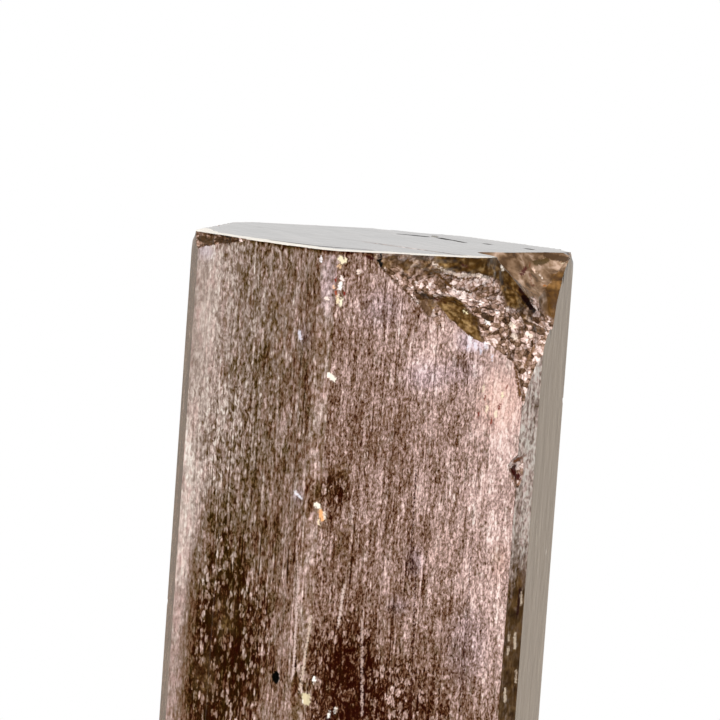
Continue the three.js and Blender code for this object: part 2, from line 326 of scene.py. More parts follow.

# marks on the skin and in the breaks, among them painted highlights (glints) and painted dark lines:
# colour, half width, and the ends of the line that each follows
marksAndGlints = [
    ("#3a140c", 0.12, (-4.05, -10.49, 44.75), (-3.7, -10.49, 44.65)),  # open crack under the end edge
    ("#060403", 0.13, (-3.2, -10.49, 44.8), (-3.15, -10.49, 44.2)),
    ("#060403", 0.10, (-3.35, -10.49, 44.6), (-3.3, -10.49, 44.5)),
    ("#4c331c", 0.06, (-3.1, -10.49, 44.1), (-0.2, -10.45, 41.7)),  # rim of the grainy break
    ("#5a4030", 0.06, (-1.7, -10.49, 43.6), (-0.4, -10.49, 42.2)),
    ("#cdbcae", 0.05, (-1.5, -10.49, 43.7), (-0.2, -10.49, 42.3)),
    ("#5e4632", 0.26, (-0.15, -10.49, 42.1), (0.1, -10.49, 41.6)),
    ("#d9c4b4", 0.08, (0.28, -10.2, 44.5), (1.08, -10.09, 44.09)),  # shell-like arcs in the break
    ("#d9c4b4", 0.08, (1.08, -10.09, 44.09), (2.06, -9.98, 43.85)),
    ("#d9c4b4", 0.08, (2.06, -9.98, 43.85), (3.34, -9.98, 43.92)),
    ("#e2cfc0", 0.09, (3.34, -9.98, 43.92), (4.06, -9.84, 43.7)),
    ("#5a3c1e", 0.08, (1.1, -10.02, 43.85), (2.1, -9.96, 43.62)),
    ("#5a3c1e", 0.08, (2.1, -9.96, 43.62), (3.3, -9.96, 43.68)),
    ("#54381c", 0.09, (0.44, -10.08, 44.06), (1.55, -9.85, 43.18)),
    ("#54381c", 0.10, (1.55, -9.85, 43.18), (2.96, -9.74, 42.78)),
    ("#54381c", 0.09, (2.96, -9.74, 42.78), (3.88, -9.87, 43.4)),
    ("#3f270e", 0.09, (0.05, -10.35, 42.6), (1.2, -10.2, 42.3)),  # dark upper edge of the wedge
    ("#3f270e", 0.07, (1.2, -10.2, 42.3), (3.3, -10.0, 42.0)),
    ("#3c1408", 0.10, (0.5, -10.35, 42.45), (1.3, -10.3, 42.15)),
    ("#9a7c52", 0.05, (1.0, -10.35, 41.95), (2.9, -10.25, 40.85)),
    ("#46301a", 0.07, (3.1, -10.0, 41.9), (3.2, -10.1, 40.9)),
    ("#e6d9b0", 0.08, (2.5, -10.1, 41.7), (2.7, -10.1, 41.6)),
    ("#4a1c10", 0.09, (2.15, -10.2, 44.5), (2.5, -10.2, 44.4)),
    ("#200806", 0.12, (6.5, -8.55, 43.1), (6.8, -8.55, 42.6)),  # dark crack below the ridge
    ("#180604", 0.20, (6.85, -8.55, 42.55), (7.2, -8.43, 42.2)),
    ("#180604", 0.16, (7.2, -8.43, 42.2), (7.6, -8.22, 41.8)),
    ("#200806", 0.14, (7.6, -8.22, 41.8), (7.85, -8.02, 41.6)),
    ("#4a3018", 0.12, (5.9, -7.4, 44.1), (6.45, -8.55, 43.15)),
    ("#4a1c10", 0.12, (7.5, -5.8, 43.75), (8.05, -5.0, 44.1)),  # rusty veins in the clear break
    ("#6a3a20", 0.05, (8.45, -4.6, 44.35), (8.06, -6.19, 43.15)),
    ("#55301c", 0.06, (8.1, -6.2, 43.1), (8.4, -6.0, 43.1)),
    ("#8a5420", 0.10, (9.0, -5.85, 43.15), (9.15, -5.8, 43.1)),
    ("#d9b9a4", 0.12, (8.6, -4.7, 44.05), (8.75, -4.85, 43.9)),
    ("#e0cdbd", 0.08, (9.05, -4.9, 43.75), (9.15, -5.1, 43.55)),
    ("#4e3a1c", 0.20, (8.9, -4.3, 44.4), (9.9, -3.6, 44.55)),
    ("#3c2a1c", 0.22, (3.9, -9.85, 41.5), (4.1, -9.9, 41.35)),
    # painted highlight: a white glint beside the dark spot
    ("#f6efe8", 0.12, (4.1, -9.92, 41.05), (4.25, -9.92, 41.0)),
    ("#efe2d4", 0.14, (5.1, -8.9, 44.38), (5.2, -8.9, 44.3)),
    # painted highlights: pale glints in the grainy break under the ridge
    ("#e8d3c2", 0.17, (6.0, -9.65, 40.25), (6.15, -9.65, 40.15)),
    ("#e3d0be", 0.15, (5.8, -9.55, 40.95), (5.95, -9.55, 40.85)),
    ("#e6d6c6", 0.17, (7.0, -9.4, 40.4), (7.2, -9.4, 40.3)),
    ("#6b4a30", 0.12, (5.9, -10.42, 38.6), (6.4, -10.49, 36.7)),  # thin brown border of the break
    ("#360c06", 0.24, (6.45, -10.1, 32.1), (6.7, -10.1, 31.6)),  # rusty core of the edge pit
    ("#7c4a2c", 0.12, (6.35, -10.3, 32.4), (7.0, -10.1, 32.9)),
    ("#7c5a44", 0.10, (6.2, -10.45, 31.6), (6.75, -10.3, 31.2)),
    ("#d8c4ae", 0.09, (7.66, -9.85, 24.35), (7.73, -9.81, 23.6)),  # pale flecks low on the right bevel
    ("#d8c4ae", 0.12, (7.42, -9.99, 21.75), (7.5, -9.94, 20.9)),
    ("#c4ae98", 0.08, (6.94, -10.26, 21.7), (6.94, -10.26, 21.4)),
    ("#cdb8a2", 0.10, (6.94, -10.26, 20.9), (6.96, -10.26, 20.6)),
    ("#cdb8a2", 0.08, (7.74, -9.80, 19.4), (7.79, -9.77, 18.7)),
    ("#d8c4ae", 0.11, (6.94, -10.26, 18.3), (7.0, -10.23, 17.6)),
    ("#7a5a40", 0.09, (7.43, -9.57, 39.7), (6.67, -10.04, 38.35)),
    ("#46321f", 0.20, (-11.95, -0.4, 44.6), (-11.4, -1.6, 44.5)),  # bruised left corner
    ("#3a2716", 0.16, (-11.3, -1.8, 44.72), (-10.7, -3.1, 44.66)),
    ("#a5844f", 0.05, (-11.25, -1.9, 44.8), (-11.0, -2.4, 44.78)),
    ("#46301a", 0.30, (10.0, -3.3, 44.85), (11.6, -3.2, 44.62)),  # dark seam at the right corner
    ("#b9a78f", 0.07, (10.3, -3.75, 44.5), (11.2, -3.6, 44.4)),
    ("#1e1a16", 0.20, (3.2, 6.2, 45), (4.0, 5.8, 45)),  # nicks in the end face
    ("#151310", 0.34, (4.0, 5.7, 45), (4.6, 5.2, 45)),
    ("#151310", 0.28, (5.4, 4.5, 45), (5.6, 3.4, 45)),
    ("#1e1a16", 0.20, (5.8, 3.2, 45), (6.1, 1.7, 45)),
    ("#8f8b84", 0.20, (5.2, 5.1, 45), (5.6, 6.2, 45)),
    ("#2a2622", 0.22, (7.5, 1.5, 45), (7.6, 1.2, 45)),
    ("#2a2622", 0.24, (9.5, -0.9, 45), (9.6, -1.3, 45)),
    ("#241e18", 0.15, (-8.5, -4.3, 45), (-7.5, -5.7, 45)),  # a dark line along the frosted rim, where the low step wall behind it would mirror the dark front: a painted dark reflection
    ("#1c1712", 0.20, (-7.4, -5.9, 45), (-6.5, -7.0, 45)),
    ("#1c1712", 0.22, (-6.2, -7.3, 45), (-4.9, -7.9, 45)),
    ("#241e18", 0.16, (-4.6, -7.9, 45), (-3.2, -8.6, 45)),
    ("#6e5a48", 0.16, (-10.28, -3.91, 43.3), (-10.2, -4.0, 43.0)),
    ("#5a4334", 0.13, (11.31, -3.87, 26.5), (11.27, -3.95, 25.5)),  # fleck on the right face
    ("#020201", 0.33, (-7.43, -8.79, 18.58), (-7.43, -8.79, 18.48)),  # black grain
    ("#c4aca4", 0.07, (-6.81, -9.92, 24.9), (-6.72, -10.01, 18.9)),  # long pale and dark lines
    ("#c0aa9a", 0.07, (-5.97, -10.44, 22.6), (-6.28, -10.26, 18.0)),
    ("#b79e96", 0.05, (-6.95, -9.68, 26.8), (-6.81, -9.92, 24.9)),
    ("#b89e94", 0.05, (-2.72, -10.49, 22.5), (-2.28, -10.49, 16.6)),
    ("#d4bcb2", 0.06, (-4.0, -10.49, 24.6), (-4.23, -10.49, 22.0)),
    # painted highlights: two small white glints low on the front
    ("#fbf3ea", 0.07, (-4.36, -10.49, 16.75), (-4.42, -10.49, 16.4)),
    ("#f4e8dc", 0.07, (-3.98, -10.49, 16.95), (-4.02, -10.49, 16.7)),
    ("#6c4630", 0.06, (8.34, -9.02, 28.3), (8.42, -8.88, 27.1)),  # rusty line on the right face
    ("#c4bca8", 0.08, (9.1, -7.69, 28.6), (9.27, -7.4, 27.0)),
    # painted highlight: a small white glint near the right edge
    ("#f2efe6", 0.09, (11.1, -4.24, 26.2), (11.12, -4.2, 26.0)),
    ("#2c0a04", 0.12, (7.55, -9.91, 24.6), (7.5, -9.94, 23.0)),
    ("#3a1c10", 0.03, (0.05, -10.49, 32), (0.1, -10.49, 26)),
    ("#3a1c10", 0.03, (0.5, -10.49, 26), (0.9, -10.49, 15)),
    ("#42241a", 0.03, (4.0, -10.49, 26.7), (4.15, -10.49, 16.7)),
    ("#f6e6c4", 0.14, (-5.75, -10.49, 44.6), (-5.6, -10.49, 44.4)),  # painted highlights: white and orange glints under the end edge, with a few red specks among them
    ("#f6e6c4", 0.09, (-5.45, -10.49, 44.55), (-5.4, -10.49, 44.45)),
    ("#e0b890", 0.10, (-5.85, -10.49, 44.1), (-5.75, -10.49, 44.05)),
    ("#ffe9e2", 0.11, (-5.62, -10.49, 43.4), (-5.55, -10.49, 43.25)),
    ("#fff6f0", 0.13, (-5.62, -10.49, 43.05), (-5.62, -10.49, 42.75)),
    ("#7a2e20", 0.06, (-5.98, -10.49, 43.35), (-5.95, -10.49, 43.15)),
    ("#f3c4a2", 0.09, (-6.05, -10.49, 42.85), (-6.03, -10.49, 42.8)),
    ("#9a4a30", 0.06, (-5.95, -10.49, 42.6), (-5.85, -10.49, 42.35)),
    ("#7c2c26", 0.07, (-5.35, -10.49, 42.5), (-5.33, -10.49, 42.35)),
    ("#f4dcb8", 0.07, (-5.75, -10.49, 42.3), (-5.73, -10.49, 41.9)),
    ("#fbeed2", 0.08, (-5.5, -10.49, 42.1), (-5.55, -10.49, 41.75)),
    ("#f3ddd0", 0.10, (-6.4, -10.2, 42.1), (-6.3, -10.3, 42.05)),
    ("#f6eef0", 0.09, (-6.85, -9.95, 44.5), (-6.83, -9.95, 44.3)),
    ("#f3dccf", 0.10, (-4.55, -10.49, 43.85), (-4.52, -10.49, 43.75)),
    # painted highlight: a white glint further down
    ("#fff2e2", 0.15, (-5.95, -10.49, 37.45), (-5.6, -10.49, 37.2)),
    ("#f7ead8", 0.13, (-6.15, -10.33, 29.5), (-5.95, -10.45, 29.35)),  # painted highlight: an orange and white glint
    ("#f2b47c", 0.12, (-5.87, -10.49, 29.1), (-5.72, -10.49, 28.6)),
    ("#fff0dc", 0.07, (-5.62, -10.49, 29.0), (-5.58, -10.49, 28.7)),
    ("#e8d2b4", 0.07, (-5.95, -10.47, 28.5), (-5.85, -10.49, 28.3)),
    ("#e9e4ea", 0.08, (-7.2, -9.25, 30.05), (-6.9, -9.75, 29.75)),
    ("#cdbe9c", 0.27, (-5.95, -10.47, 17.6), (-5.9, -10.49, 17.4)),  # yellowish grain
    # painted highlights: white glints on and beside the grain
    ("#f4eee2", 0.08, (-6.1, -10.38, 17.4), (-6.05, -10.4, 17.3)),
    ("#fdf6ee", 0.09, (-5.52, -10.49, 18.85), (-5.5, -10.49, 18.65)),
    ("#8a4a3c", 0.06, (4.66, -10.49, 35.2), (4.64, -10.49, 34.9)),  # warm specks low in the pale patch
    ("#7c4034", 0.06, (5.12, -10.49, 36.1), (5.1, -10.49, 35.8)),
    ("#8a5040", 0.05, (4.14, -10.49, 36.6), (4.12, -10.49, 36.3)),
    ("#8a4a3c", 0.05, (5.5, -10.49, 37.2), (5.48, -10.49, 37.0)),
    ("#7c4034", 0.05, (3.8, -10.49, 35.5), (3.78, -10.49, 35.2)),
    ("#f0dcc0", 0.08, (4.33, -10.49, 35.9), (4.3, -10.49, 35.6)),
    ("#f2e2c8", 0.07, (4.92, -10.49, 35.6), (4.9, -10.49, 35.3)),
    ("#f0dcc0", 0.06, (4.0, -10.49, 37.2), (3.98, -10.49, 36.9)),
    ("#f6e8c4", 0.06, (5.25, -10.49, 36.8), (5.22, -10.49, 36.5)),
    ("#d8d2dc", 0.13, (-7.48, -8.72, 39.8), (-7.4, -8.82, 39.45)),
    ("#f0e8ec", 0.10, (2.9, -10.49, 40.1), (2.95, -10.49, 39.85)),  # whitish flecks under the wedge
    ("#e8dfe8", 0.08, (3.22, -10.49, 39.75), (3.28, -10.49, 39.45)),
    ("#e4dbe4", 0.06, (2.75, -10.49, 39.6), (2.8, -10.49, 39.3)),
    ("#ece2e8", 0.09, (3.9, -10.45, 39.8), (4.0, -10.47, 39.5)),
    ("#d6d0dc", 0.06, (3.6, -10.49, 39.5), (3.66, -10.49, 39.15)),
    ("#dcd4dc", 0.06, (4.4, -10.47, 39.1), (4.45, -10.47, 38.8)),
]

# lengths in mm, angles in degrees, scales in repeats to the mm, and the rest as shares
crystal = {
    "node": "apatite_crystal",
    "weldGap": 0.0002,
    "flatAngle": 0.2,
    "gridUpright": 0.6,
    "gridAcross": 0.24,
    "gridSteps": (0.3, 0.16, 0.12),
    # what counts as a side, an end, a break and an edge
    "sideTilt": 0.03,
    "endTilt": 0.998,
    "deepestChannel": 0.09,
    "breaksAbove": 30,
    "sharpAngle": 24,
    # the grainy break on the front: how deep, from where to where, and the line it stays above
    "frontSkin": -10.3,
    "frontRun": (-3.4, 1.2),
    "frontLine": (-3.3, 44.35),
    "frontFall": 0.88,
    # relief
    "grooveDepth": 0.03,
    "grooveScale": (1.4, 1.4, 0.06),
    "fineScale": (3.1, 3.1, 0.12),
    "fineShift": 7,
    "fineShare": 0.4,
    "grainDepth": 0.13,
    "grainSize": 0.5,
    "grainTop": 0.6,
    "crumbScale": 4.2,
    "crumbShare": 0.4,
    "edgeWear": 0.45,
    "wearScale": 1.3,
    "wearLeast": 0.35,
    # low steps of the end face: their depths, where each dies out, and how far they are worn
    "stepDepths": (0.03, 0.07, 0.17),
    "stepsEnd": (-8, -1.2),
    "stepRun": (2, 1.5),
    "firstLift": (0.09, 0.04),
    "secondLift": (0.7, 0.3),
    "pitPlace": (6.6, -9.9, 31.9),
    "pitReach": 1.6,
    "pitLift": 0.5,
    "roundCorners": [(-12.06, 0.75, 45), (11.95, -2.75, 45)],
    "roundReach": 0.7,
    "roundDepth": 0.3,
    "roundFall": 12,
    # tones and tints
    "dimBelow": 27,
    "dimming": 0.008,
    "beigeFade": (10.5, 6),
    "beigeRise": (20, 12),
    "fleckTone": 0.38,
    "fleckFade": 0.15,
    "fleckCalm": 4,
    "duskFrom": 43.6,
    "duskRise": 0.5,
    "duskOlive": 0.65,
    "endTone": 0.3,
    "endBeige": 0.5,
    "footFrost": 0.6,
    "rimWidth": 1.7,
    "rimFade": (0.55, 1.2),
    "breakTone": 0.5,
    "breakBeige": 0.3,
    "kindFade": 0.3,
    "kindReach": 4,
    "farBeige": 0.6,
    "markRoom": 0.25,
    "markReach": 0.8,
    "markFade": 0.4,
}


# the solid, welded and with its flat faces joined again
def readSolid():
    bm = bmesh.new()
    bm.from_mesh(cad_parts[crystal["node"]].data)
    bmesh.ops.remove_doubles(bm, verts=bm.verts, dist=crystal["weldGap"] * mm)
    bmesh.ops.dissolve_limit(bm, angle_limit=math.radians(crystal["flatAngle"]), verts=bm.verts,
                             edges=bm.edges)
    return bm


# the twelve upright sides: way out, way across, reach from the axis, and where each one starts
def readSides(bm):
    sides = {}
    for bearing in sideTone:
        angle = math.radians(bearing)
        out = Vector((math.cos(angle), math.sin(angle), 0))
        reach = max(v.co.dot(out) for v in bm.verts) / mm
        sides[bearing] = {"out": out, "across": Vector((-out.y, out.x, 0)), "reach": reach}
    for bearing, side in sides.items():
        before = sides[(bearing - 30) % 360]
        turn = math.radians(30)
        side["start"] = -(before["reach"] - side["reach"] * math.cos(turn)) / math.sin(turn)
    return sides


def sideAt(sides, place):
    return min(sides, key=lambda bearing: sides[bearing]["reach"] - place.dot(sides[bearing]["out"]))


# evenly spaced cuts, square to one direction
def sliceUp(bm, normal, spacing):
    low = min(v.co.dot(normal) for v in bm.verts)
    high = max(v.co.dot(normal) for v in bm.verts)
    count = round((high - low) / (spacing * mm))
    for i in range(1, count):
        place = normal * (low + (high - low) * i / count)
        bmesh.ops.bisect_plane(bm, geom=bm.verts[:] + bm.edges[:] + bm.faces[:], dist=1e-7,
                               plane_co=place, plane_no=normal)


# a face is broken where it slopes, or stands well inside the upright sides
def isBroken(face, sides):
    if abs(face.normal.z) > crystal["sideTilt"]:
        return abs(face.normal.z) < crystal["endTilt"]
    place = face.calc_center_median() / mm
    depth = min(side["reach"] - place.dot(side["out"]) for side in sides.values())
    return depth > crystal["deepestChannel"]


# the grainy break runs on a little way over the front, left of the open scar
def overFront(place):
    left, right = crystal["frontRun"]
    lineX, lineZ = crystal["frontLine"]
    above = place.z - lineZ + crystal["frontFall"] * (place.x - lineX)
    return place.y < crystal["frontSkin"] and left < place.x < right and above > 0


# the gap from a place to the edge of the nearest mark or painted glint, and its colour
def nearestMarkOrGlint(place):
    best = (1, None)
    reach = crystal["markReach"]
    for colour, halfWidth, start, end in marksAndGlints:
        if end[2] - reach < place.z < start[2] + reach:
            best = min(best, (gapTo(place, Vector(start), Vector(end)) - halfWidth, colour))
    return best


def gapTo(place, start, end):
    run = end - start
    along = share((place - start).dot(run), run.length_squared)
    return (place - start - run * along).length


# a finer grid where the marks, the painted glints and the breaks are
def refine(bm, sides):
    for target in crystal["gridSteps"]:
        bm.normal_update()
        chosen = []
        for face in bm.faces:
            middle = face.calc_center_median() / mm
            nearMark = nearestMarkOrGlint(middle)[0] < crystal["markRoom"]
            high = middle.z > crystal["breaksAbove"]
            if nearMark or overFront(middle) or high and isBroken(face, sides):
                chosen.append(face)
        edges = {e for f in chosen for e in f.edges if e.calc_length() > target * mm}
        bmesh.ops.subdivide_edges(bm, edges=list(edges), cuts=1, use_grid_fill=True)
        print("refined to", target, len(bm.faces))


# what a list of soft spots adds at a place on a side
def toneAt(side, clouds, place):
    across = place.dot(side["across"]) - side["start"]
    total = 0
    for atAcross, atUp, halfWidth, halfHeight, amount in clouds:
        reach = math.hypot((across - atAcross) / halfWidth, (place.z - atUp) / halfHeight)
        if reach < 1.2:
            total += amount * fadeOut(reach)
    return total


# The looks of a place are four colours for the material to read: the finish (smooth, end face, grainy,
# clear), the tone (level, lilac, peach, beige), the stain (flecks, frost with its painted edge highlight,
# olive, rust) and the calm.
def sideLooks(bearing, side, place):
    low = min(place.z - crystal["dimBelow"], 0) * crystal["dimming"]
    tone = sideTone[bearing] + low + toneAt(side, sideClouds.get(bearing, ()), place)
    tint = {name: toneAt(side, spots.get(bearing, ()), place) for name, spots in sideTints.items()}
    smooth = 1 if bearing in polishedSides else 0
    beige = sideBeige.get(bearing, 0)
    if bearing == 210:  # the beige fades to the right and downwards
        edge, run = crystal["beigeFade"]
        beige -= 0.5 * fadeOut((edge - place.dot(side["across"]) + side["start"]) / run, 0, 1)
        edge, run = crystal["beigeRise"]
        beige *= 0.5 + 0.5 * share(place.z - edge, run)
    calm = toneAt(side, calmSpots.get(bearing, ()), place)
    flecks = share(crystal["fleckTone"] - tone, crystal["fleckFade"])
    flecks *= max(1 - crystal["fleckCalm"] * calm, 0)
    grain = 1 if bearing == 270 and overFront(place) else 0
    dusk = crystal["duskOlive"] * grain * share(place.z - crystal["duskFrom"], crystal["duskRise"])
    return ((smooth, 0, grain, 0), (tone, tint["lilac"], tint["peach"], beige),
            (flecks, 0, tint["olive"] + dusk, tint["rust"]), (calm, calm, calm, 1))


# the end face has a frosted rim along its front and left edges, painted pale so that it also stands
# in for the highlight along that edge, and the foot is frosted all over
def endLooks(sides, place, top):
    frostAndHighlight = crystal["footFrost"]
    if place.z > top / 2:
        edge = min(sides[b]["reach"] - place.dot(sides[b]["out"]) for b in (180, 210, 240, 270))
        frostAndHighlight = fadeOut(edge / crystal["rimWidth"], *crystal["rimFade"])
    return ((0, 1, 0, 0), (crystal["endTone"], 0, 0, crystal["endBeige"]), (0, frostAndHighlight, 0, 0), (0, 0, 0, 1))


# the kind of break comes from the nearest named place, and all breaks far from them are grainy
def breakLooks(place):
    nearest = {kind: min((place - Vector(p)).length for p in places) for kind, places in breakKinds.items()}
    tone = crystal["breakTone"]
    for spot, reach, change in breakClouds:
        tone += change * fadeOut((place - Vector(spot)).length / reach)
    if min(nearest.values()) > crystal["kindReach"]:
        return (0, 0, 1, 0), (tone, 0, 0, crystal["farBeige"]), (0, 0, 0, 0), (0, 0, 0, 1)
    part = {}
    for kind in nearest:
        others = min(reach for other, reach in nearest.items() if other != kind)
        part[kind] = share(0.5 * crystal["kindFade"] + others - nearest[kind], crystal["kindFade"])
    grain = min(part["grain"] + part["dusk"], 1)
    olive = part["olive"] + crystal["duskOlive"] * part["dusk"]
    return ((0, 0, grain, 1 - grain), (tone, 0, 0, crystal["breakBeige"]), (0, 0, olive, part["rust"]),
            (0, 0, 0, 1))


def markOrGlintLooks(place):
    gap, colour = nearestMarkOrGlint(place)
    if colour is None:
        return (0, 0, 0, 0)
    return toLinear(colour, share(0.5 * crystal["markFade"] - gap, crystal["markFade"]))


def paintLooks(bm, sides):
    names = ("finish", "tone", "stain", "calm", "markOrGlint")
    layers = [bm.loops.layers.float_color.new(name) for name in names]
    top = cadBox[1][2] / mm
    known = {}
    for face in bm.faces:
        upright = abs(face.normal.z) <= crystal["sideTilt"]
        kind = sideAt(sides, face.calc_center_median() / mm) if upright else "end"
        if isBroken(face, sides):
            kind = "broken"
        for loop in face.loops:
            place = loop.vert.co / mm
            looks = known.get((loop.vert, kind))
            if looks is None:
                if kind == "broken":
                    looks = breakLooks(place)
                elif kind == "end":
                    looks = endLooks(sides, place, top)
                else:
                    looks = sideLooks(kind, sides[kind], place)
                looks = (*looks, markOrGlintLooks(place))
                known[loop.vert, kind] = looks
            for layer, value in zip(layers, looks):
                loop[layer] = value
    return layers


# worn edges, lumps in the grainy break, grooves along the sides and low steps on the end face
def wearAndGrain(bm, layers, sides):
    finish = layers[0]
    onEdge = set()
    broken = {face for face in bm.faces if isBroken(face, sides)}
    for edge in bm.edges:
        if len(edge.link_faces) == 2 and edge.calc_face_angle() > math.radians(crystal["sharpAngle"]):
            faces = edge.link_faces
            if not all(f in broken for f in faces) and not all(f.loops[0][finish][0] > 0.5 for f in faces):
                edge.smooth = False
                onEdge.update(edge.verts)
    moves = {}
    for vert in bm.verts:
        place = vert.co / mm
        grainy = [loop[finish][2] for loop in vert.link_loops]
        if vert in onEdge:
            middle = sum((e.other_vert(vert).co for e in vert.link_edges), Vector()) / len(vert.link_edges)
            least = crystal["wearLeast"]
            wear = least + (1 - least) * abs(noise.noise(place * crystal["wearScale"]))
            moves[vert] = (middle - vert.co) * crystal["edgeWear"] * wear
        elif grainy and min(grainy) > 0.5:
            cells = noise.voronoi(place / crystal["grainSize"])[0]
            hollow = crystal["grainTop"] - min(cells[1] - cells[0], crystal["grainTop"])
            hollow += crystal["crumbShare"] * noise.noise(place * crystal["crumbScale"])
            moves[vert] = -vert.normal * crystal["grainDepth"] * hollow * mm
        elif abs(vert.normal.z) < crystal["sideTilt"]:
            groove = noise.noise(place * Vector(crystal["grooveScale"]))
            shift = Vector((crystal["fineShift"], 0, 0))
            fine = noise.noise(place * Vector(crystal["fineScale"]) + shift)
            both = groove + (fine - groove) * crystal["fineShare"]
            moves[vert] = -vert.normal * crystal["grooveDepth"] * max(0, both) * mm
            if vert.link_loops[0][finish][0] > 0.5:
                side = sides[sideAt(sides, place)]
                moves[vert] = side["out"] * (side["reach"] - place.dot(side["out"])) * mm
    # both growth steps are worn down, and die out where the stone is polished smooth
    for vert in bm.verts:
        x = vert.co.x / mm
        drop = (cadBox[1][2] - vert.co.z) / mm
        least, between, most = crystal["stepDepths"]
        if least < drop < most and any(loop[finish][1] > 0.5 for loop in vert.link_loops):
            first, second = crystal["stepsEnd"]
            firstRun, secondRun = crystal["stepRun"]
            if drop < between:
                base, more = crystal["secondLift"]
                lift = drop * (base + more * share(second - x, secondRun))
            else:
                base, more = crystal["firstLift"]
                lift = base + more * share(x - first, firstRun)
            moves[vert] = moves.get(vert, Vector()) + Vector((0, 0, lift * mm))
    # the edge pit is filled up half way by its own crumbs; the end corners are rubbed round
    for vert in bm.verts:
        place = vert.co / mm
        for corner in crystal["roundCorners"]:
            near = 1 - (place - Vector(corner)).length / crystal["roundReach"]
            if near > 0:
                inward = Vector((-corner[0], -corner[1], -crystal["roundFall"])).normalized()
                moves[vert] = moves.get(vert, Vector()) + inward * near * crystal["roundDepth"] * mm
        if (place - Vector(crystal["pitPlace"])).length < crystal["pitReach"]:
            side = sides[sideAt(sides, place)]
            inset = side["reach"] - place.dot(side["out"])
            moves[vert] = moves.get(vert, Vector()) + side["out"] * inset * crystal["pitLift"] * mm
    for vert, move in moves.items():
        vert.co += move
        for axis in range(3):
            vert.co[axis] = min(max(vert.co[axis], cadBox[0][axis]), cadBox[1][axis])


def buildCrystal():
    bm = readSolid()
    sides = readSides(bm)
    sliceUp(bm, Vector((0, 0, 1)), crystal["gridUpright"])
    sliceUp(bm, Vector((1, 0, 0)), crystal["gridAcross"])
    sliceUp(bm, Vector((0, 1, 0)), crystal["gridAcross"])
    print("grid cut", len(bm.faces))
    refine(bm, sides)
    bm.normal_update()
    layers = paintLooks(bm, sides)
    print("looks painted")
    wearAndGrain(bm, layers, sides)
    for face in bm.faces:
        face.smooth = True
    data = bpy.data.meshes.new("apatiteCrystalLooks")
    bm.to_mesh(data)
    bm.free()
    print("crystal mesh", len(data.polygons), sum(len(p.vertices) - 2 for p in data.polygons))
    piece = bpy.data.objects.new("apatiteCrystalLooks", data)
    bpy.context.scene.collection.objects.link(piece)
    return piece


# sizes are in mm, across and along the stone where there are two; contrasts and gains are in tone
stone = {
    "ior": 1.635,
    "roughness": 0.16,
    "clearness": 0.22,
    "absorbDensity": 90,
    "absorbColour": "#9c6a48",
    "streakSize": (0.108, 0.225),
    "coarser": (0.54, 0.54, 0.68),
    "lineSize": (0.2, 2.2),
    "cloudSize": (1.25, 2.8571),
    "wormSize": (0.2174, 0.625),
    "patchSize": (0.6667, 2.381),
    "hairSize": (0.2, 9.0909),
    "threadSize": (0.2273, 7.1429),
    "fleckSize": (0.3704, 0.7143),
    "faintSize": (1.1111, 4.5455),
    "endDriftSize": (2.2222, 6.25),
    "cellSize": (0.3704, 0.3125),
    "swingSize": 0.7692,
    "clusterSize": 1.1111,
    "pushSize": 0.4545,
    "crumbSize": 0.2941,
    "driftSize": 0.7692,
    "raggedSize": 0.1111,
    "rimWander": 1.25,
    "hueScale": 2.4,
    "wander": 0.22,
    "push": 0.45,
    "grainContrast": 1.55,
    "wormContrast": 0.18,
    "lineContrast": 0.58,
    "patchContrast": 0.55,
    "cloudContrast": 0.3,
    "calming": 0.8,
    "hairDark": -0.2,
    "threadPale": 0.17,
    "fleckPale": (-0.05, 0.32),
    "edgeShadeDark": -0.25,
    "edgeShadeDepth": (0.3, 0.08),
    "hueContrast": 3.2,
    "hueMiddle": 1.7,
    "sideMottle": (0.8, 0.4, 0.3),
    "lumpContrast": 0.75,
    "crumbContrast": 1.3,
    "lumpMiddle": 0.96,
    "crumbInGlass": 0.55,
    "tinge": 0.4,
    "lilac": "#b0a2bc",
    "peach": "#eab49e",
    # the pale paint of the frost; on the rim of the end face it is also a painted highlight
    "frostAndHighlight": "#f6eee2",
    "lumpHeight": 4,
    "faceRoll": 3,
    "bumpDepth": 0.03,
}

# brown body to pale streak, by tone
pinkRamp = [
    (0.04, "#260500"), (0.10, "#361103"), (0.19, "#4d2c15"), (0.31, "#6c4b38"), (0.44, "#866c59"),
    (0.53, "#9d8077"), (0.64, "#b99c94"), (0.73, "#d4b2a9"), (0.83, "#edcac1"), (0.93, "#fbe1d8"),
    (1.0, "#fff3ec"),
]
beigeRamp = [
    (0.04, "#241400"), (0.10, "#342206"), (0.19, "#4a3716"), (0.27, "#5c4728"), (0.42, "#7d6959"),
    (0.50, "#907b70"), (0.62, "#ad9b90"), (0.72, "#cab7ad"), (0.80, "#d9c9bd"), (0.93, "#f5ece2"),
]
# grainy break, brown seams to pale lumps; the palest stops are painted glitter
grainAndGlitterRamp = [(0.0, "#3a2210"), (0.22, "#5e4530"), (0.45, "#8a6c58"), (0.65, "#b8998d"), (0.85, "#e4cac1"),
             (1.0, "#fae6de")]
clearRamp = [(0.28, "#402a16"), (0.42, "#624830"), (0.54, "#84684f"), (0.7, "#b89c88")]
oliveRamp = [(0.33, "#1c0a02"), (0.5, "#563a16"), (0.66, "#a08054")]
rustRamp = [(0.3, "#361e08"), (0.5, "#563810"), (0.75, "#8c6434")]
greyRamp = [(0.45, "#54463a"), (0.75, "#6c5c48"), (1.0, "#887a66")]
endRamp = [(0.33, "#40342a"), (0.5, "#544840"), (0.66, "#6c6058")]


# how often a pattern comes in a mm, across and along the stone
def repeats(size):
    across, along = stone[size]
    return (1 / across, 1 / across, 1 / along)


